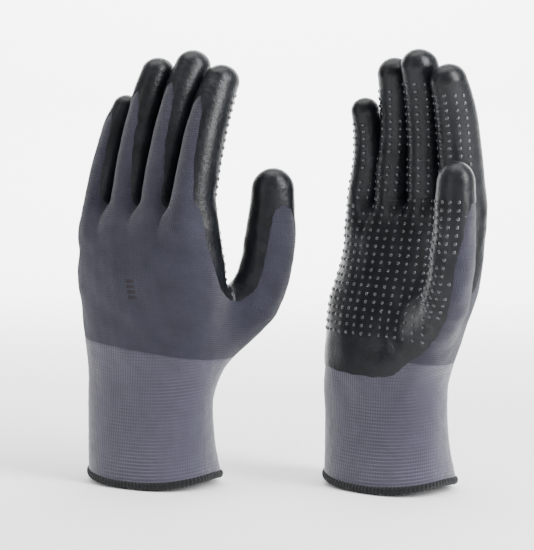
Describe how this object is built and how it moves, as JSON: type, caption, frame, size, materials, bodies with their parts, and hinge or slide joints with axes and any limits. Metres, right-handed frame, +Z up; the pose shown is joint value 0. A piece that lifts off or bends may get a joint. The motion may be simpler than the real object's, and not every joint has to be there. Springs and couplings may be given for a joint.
{
  "type": "work gloves",
  "caption": "Pair of knit work gloves with nitrile-coated palms and fingertips, ribbed cuffs and overlocked hems, standing on the hems.",
  "frame": {"origin": "middle of the pair's footprint, on the surface that the hems stand on", "axes": "+Z up to the fingertips, -Y the front, from which the left glove shows its back and the right glove its palm, +X from the left glove to the right glove"},
  "size_m": [0.2289, 0.1244, 0.2456],
  "materials": {
    "hand_knit": "fine flat knit",
    "cuff_knit": "fine elastic rib knit",
    "edging": "overlock thread",
    "nitrile": "foam nitrile, satin"
  },
  "bodies": {
    "left_hand": {"left_hem": "edging", "left_cuff": "cuff_knit", "left_hand": "hand_knit", "left_palm_coating": "nitrile", "left_index_knuckle_band": "hand_knit", "left_middle_knuckle_band": "hand_knit", "left_ring_knuckle_band": "hand_knit", "left_little_knuckle_band": "hand_knit", "left_thumb_knuckle_band": "hand_knit"},
    "left_index_base": {"left_index_base": "hand_knit", "left_index_middle_band": "hand_knit"},
    "left_index_tip": {"left_index_tip": "hand_knit", "left_index_tip_coating": "nitrile"},
    "left_middle_base": {"left_middle_base": "hand_knit", "left_middle_middle_band": "hand_knit"},
    "left_middle_tip": {"left_middle_tip": "hand_knit", "left_middle_tip_coating": "nitrile"},
    "left_ring_base": {"left_ring_base": "hand_knit", "left_ring_middle_band": "hand_knit"},
    "left_ring_tip": {"left_ring_tip": "hand_knit", "left_ring_tip_coating": "nitrile"},
    "left_little_base": {"left_little_base": "hand_knit", "left_little_middle_band": "hand_knit"},
    "left_little_tip": {"left_little_tip": "hand_knit", "left_little_tip_coating": "nitrile"},
    "left_thumb_base": {"left_thumb_base": "hand_knit", "left_thumb_middle_band": "hand_knit"},
    "left_thumb_tip": {"left_thumb_tip": "hand_knit", "left_thumb_tip_coating": "nitrile"},
    "right_hand": {"right_hem": "edging", "right_cuff": "cuff_knit", "right_hand": "hand_knit", "right_palm_coating": "nitrile", "right_index_knuckle_band": "hand_knit", "right_middle_knuckle_band": "hand_knit", "right_ring_knuckle_band": "hand_knit", "right_little_knuckle_band": "hand_knit", "right_thumb_knuckle_band": "hand_knit"},
    "right_index_base": {"right_index_base": "hand_knit", "right_index_middle_band": "hand_knit"},
    "right_index_tip": {"right_index_tip": "hand_knit", "right_index_tip_coating": "nitrile"},
    "right_middle_base": {"right_middle_base": "hand_knit", "right_middle_middle_band": "hand_knit"},
    "right_middle_tip": {"right_middle_tip": "hand_knit", "right_middle_tip_coating": "nitrile"},
    "right_ring_base": {"right_ring_base": "hand_knit", "right_ring_middle_band": "hand_knit"},
    "right_ring_tip": {"right_ring_tip": "hand_knit", "right_ring_tip_coating": "nitrile"},
    "right_little_base": {"right_little_base": "hand_knit", "right_little_middle_band": "hand_knit"},
    "right_little_tip": {"right_little_tip": "hand_knit", "right_little_tip_coating": "nitrile"},
    "right_thumb_base": {"right_thumb_base": "hand_knit", "right_thumb_middle_band": "hand_knit"},
    "right_thumb_tip": {"right_thumb_tip": "hand_knit", "right_thumb_tip_coating": "nitrile"}
  },
  "joints": [
    {"name": "left_index_knuckle", "type": "hinge", "parent": "left_hand", "child": "left_index_base", "pos_m": [-0.04539, -0.0069, 0.166], "axis": [-0.8572, 0.515, 0], "range_deg": [-15, 60], "stiffness_Nm_per_rad": 0.05, "deforming": ["left_index_knuckle_band"]},
    {"name": "left_index_middle_joint", "type": "hinge", "parent": "left_index_base", "child": "left_index_tip", "pos_m": [-0.04027, -0.00199, 0.19566], "axis": [-0.8572, 0.515, 0], "range_deg": [-10, 65], "stiffness_Nm_per_rad": 0.05, "deforming": ["left_index_middle_band"]},
    {"name": "left_middle_knuckle", "type": "hinge", "parent": "left_hand", "child": "left_middle_base", "pos_m": [-0.06322, 0.00673, 0.168], "axis": [-0.8572, 0.515, 0], "range_deg": [-15, 60], "stiffness_Nm_per_rad": 0.05, "deforming": ["left_middle_knuckle_band"]},
    {"name": "left_middle_middle_joint", "type": "hinge", "parent": "left_middle_base", "child": "left_middle_tip", "pos_m": [-0.05772, 0.00975, 0.2004], "axis": [-0.8572, 0.515, 0], "range_deg": [-10, 65], "stiffness_Nm_per_rad": 0.05, "deforming": ["left_middle_middle_band"]},
    {"name": "left_ring_knuckle", "type": "hinge", "parent": "left_hand", "child": "left_ring_base", "pos_m": [-0.08173, 0.0196, 0.165], "axis": [-0.8572, 0.515, 0], "range_deg": [-15, 60], "stiffness_Nm_per_rad": 0.05, "deforming": ["left_ring_knuckle_band"]},
    {"name": "left_ring_middle_joint", "type": "hinge", "parent": "left_ring_base", "child": "left_ring_tip", "pos_m": [-0.07681, 0.01982, 0.19611], "axis": [-0.8572, 0.515, 0], "range_deg": [-10, 65], "stiffness_Nm_per_rad": 0.05, "deforming": ["left_ring_middle_band"]},
    {"name": "left_little_knuckle", "type": "hinge", "parent": "left_hand", "child": "left_little_base", "pos_m": [-0.09947, 0.03085, 0.161], "axis": [-0.8572, 0.515, 0], "range_deg": [-15, 60], "stiffness_Nm_per_rad": 0.05, "deforming": ["left_little_knuckle_band"]},
    {"name": "left_little_middle_joint", "type": "hinge", "parent": "left_little_base", "child": "left_little_tip", "pos_m": [-0.09474, 0.03056, 0.18605], "axis": [-0.8572, 0.515, 0], "range_deg": [-10, 65], "stiffness_Nm_per_rad": 0.05, "deforming": ["left_little_middle_band"]},
    {"name": "left_thumb_knuckle", "type": "hinge", "parent": "left_hand", "child": "left_thumb_base", "pos_m": [-0.01365, 0.01719, 0.105], "axis": [0.9877, 0.1564, 0], "range_deg": [-45, 15], "stiffness_Nm_per_rad": 0.05, "deforming": ["left_thumb_knuckle_band"]},
    {"name": "left_thumb_middle_joint", "type": "hinge", "parent": "left_thumb_base", "child": "left_thumb_tip", "pos_m": [-0.0043, 0.01624, 0.138], "axis": [0.9877, 0.1564, 0], "range_deg": [-55, 10], "stiffness_Nm_per_rad": 0.05, "deforming": ["left_thumb_middle_band"]},
    {"name": "right_index_knuckle", "type": "hinge", "parent": "right_hand", "child": "right_index_base", "pos_m": [0.10436, 0.00032, 0.166], "axis": [0.7431, -0.6691, 0], "range_deg": [-15, 60], "stiffness_Nm_per_rad": 0.05, "deforming": ["right_index_knuckle_band"]},
    {"name": "right_index_middle_joint", "type": "hinge", "parent": "right_index_base", "child": "right_index_tip", "pos_m": [0.10116, -0.00601, 0.19566], "axis": [0.7431, -0.6691, 0], "range_deg": [-10, 65], "stiffness_Nm_per_rad": 0.05, "deforming": ["right_index_middle_band"]},
    {"name": "right_middle_knuckle", "type": "hinge", "parent": "right_hand", "child": "right_middle_base", "pos_m": [0.08611, 0.01339, 0.168], "axis": [0.7431, -0.6691, 0], "range_deg": [-15, 60], "stiffness_Nm_per_rad": 0.05, "deforming": ["right_middle_knuckle_band"]},
    {"name": "right_middle_middle_joint", "type": "hinge", "parent": "right_middle_base", "child": "right_middle_tip", "pos_m": [0.08505, 0.00705, 0.20037], "axis": [0.7431, -0.6691, 0], "range_deg": [-10, 65], "stiffness_Nm_per_rad": 0.05, "deforming": ["right_middle_middle_band"]},
    {"name": "right_ring_knuckle", "type": "hinge", "parent": "right_hand", "child": "right_ring_base", "pos_m": [0.06839, 0.02733, 0.165], "axis": [0.7431, -0.6691, 0], "range_deg": [-15, 60], "stiffness_Nm_per_rad": 0.05, "deforming": ["right_ring_knuckle_band"]},
    {"name": "right_ring_middle_joint", "type": "hinge", "parent": "right_ring_base", "child": "right_ring_tip", "pos_m": [0.06967, 0.02179, 0.19598], "axis": [0.7431, -0.6691, 0], "range_deg": [-10, 65], "stiffness_Nm_per_rad": 0.05, "deforming": ["right_ring_middle_band"]},
    {"name": "right_little_knuckle", "type": "hinge", "parent": "right_hand", "child": "right_little_base", "pos_m": [0.05244, 0.04101, 0.161], "axis": [0.7431, -0.6691, 0], "range_deg": [-15, 60], "stiffness_Nm_per_rad": 0.05, "deforming": ["right_little_knuckle_band"]},
    {"name": "right_little_middle_joint", "type": "hinge", "parent": "right_little_base", "child": "right_little_tip", "pos_m": [0.05431, 0.03581, 0.18589], "axis": [0.7431, -0.6691, 0], "range_deg": [-10, 65], "stiffness_Nm_per_rad": 0.05, "deforming": ["right_little_middle_band"]},
    {"name": "right_thumb_knuckle", "type": "hinge", "parent": "right_hand", "child": "right_thumb_base", "pos_m": [0.0906, -0.03708, 0.111], "axis": [-0.1392, 0.9903, 0], "range_deg": [-45, 15], "stiffness_Nm_per_rad": 0.05, "deforming": ["right_thumb_knuckle_band"]},
    {"name": "right_thumb_middle_joint", "type": "hinge", "parent": "right_thumb_base", "child": "right_thumb_tip", "pos_m": [0.09424, -0.04574, 0.144], "axis": [-0.1392, 0.9903, 0], "range_deg": [-55, 10], "stiffness_Nm_per_rad": 0.05, "deforming": ["right_thumb_middle_band"]},
    {"name": "right_lift", "type": "slide", "parent": "left_hand", "child": "right_hand", "axis": [0, 0, 1], "range_m": [0, 0.3]}
  ]
}
